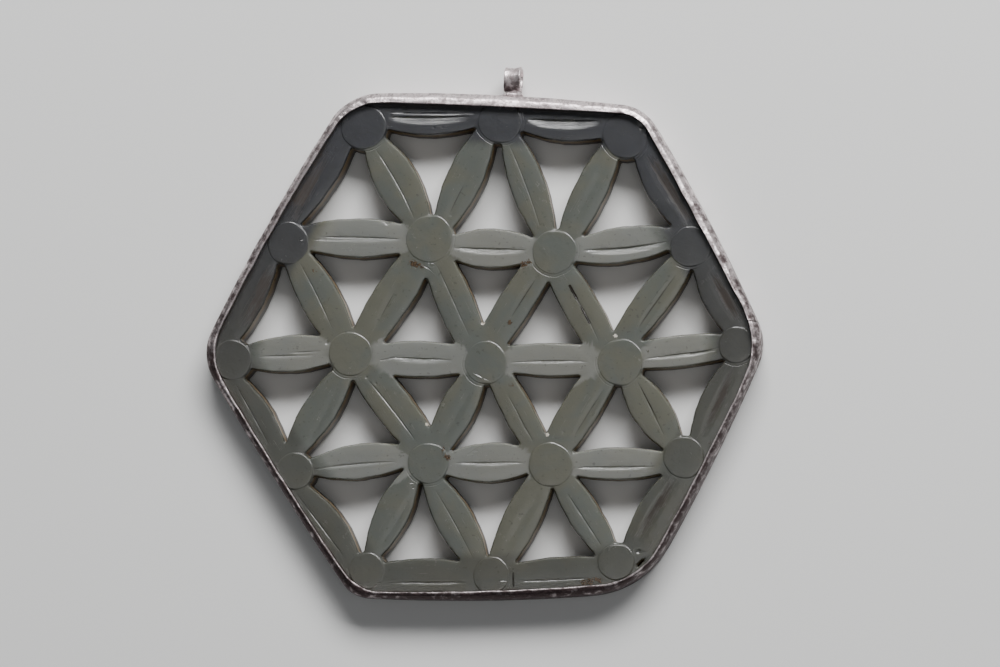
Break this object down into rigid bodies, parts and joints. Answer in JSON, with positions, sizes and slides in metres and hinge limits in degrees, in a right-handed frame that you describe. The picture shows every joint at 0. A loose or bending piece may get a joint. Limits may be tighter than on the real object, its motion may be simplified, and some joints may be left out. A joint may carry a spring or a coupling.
{
  "type": "openwork jade plaque",
  "caption": "Flat six-sided openwork plaque of pale green-grey stone, round bosses joined by grooved petals, held in a silver bezel with a loop to hang it by.",
  "frame": {"origin": "the middle of the underside: it lies flat with the bezel's back edge on z = 0", "axes": "+Z out of the carved face, +Y in the plane of the plaque towards the hanging loop, +X to the right as the face is looked at"},
  "size_m": [0.0708, 0.0676, 0.0052],
  "materials": {
    "jade": "softly polished pale green-grey stone, slightly translucent",
    "silver": "worn silver with a warm grey tarnish"
  },
  "bodies": {
    "root": {"jade_plaque": "jade", "silver_rim": "silver", "hanging_loop": "silver"}
  },
  "joints": []
}
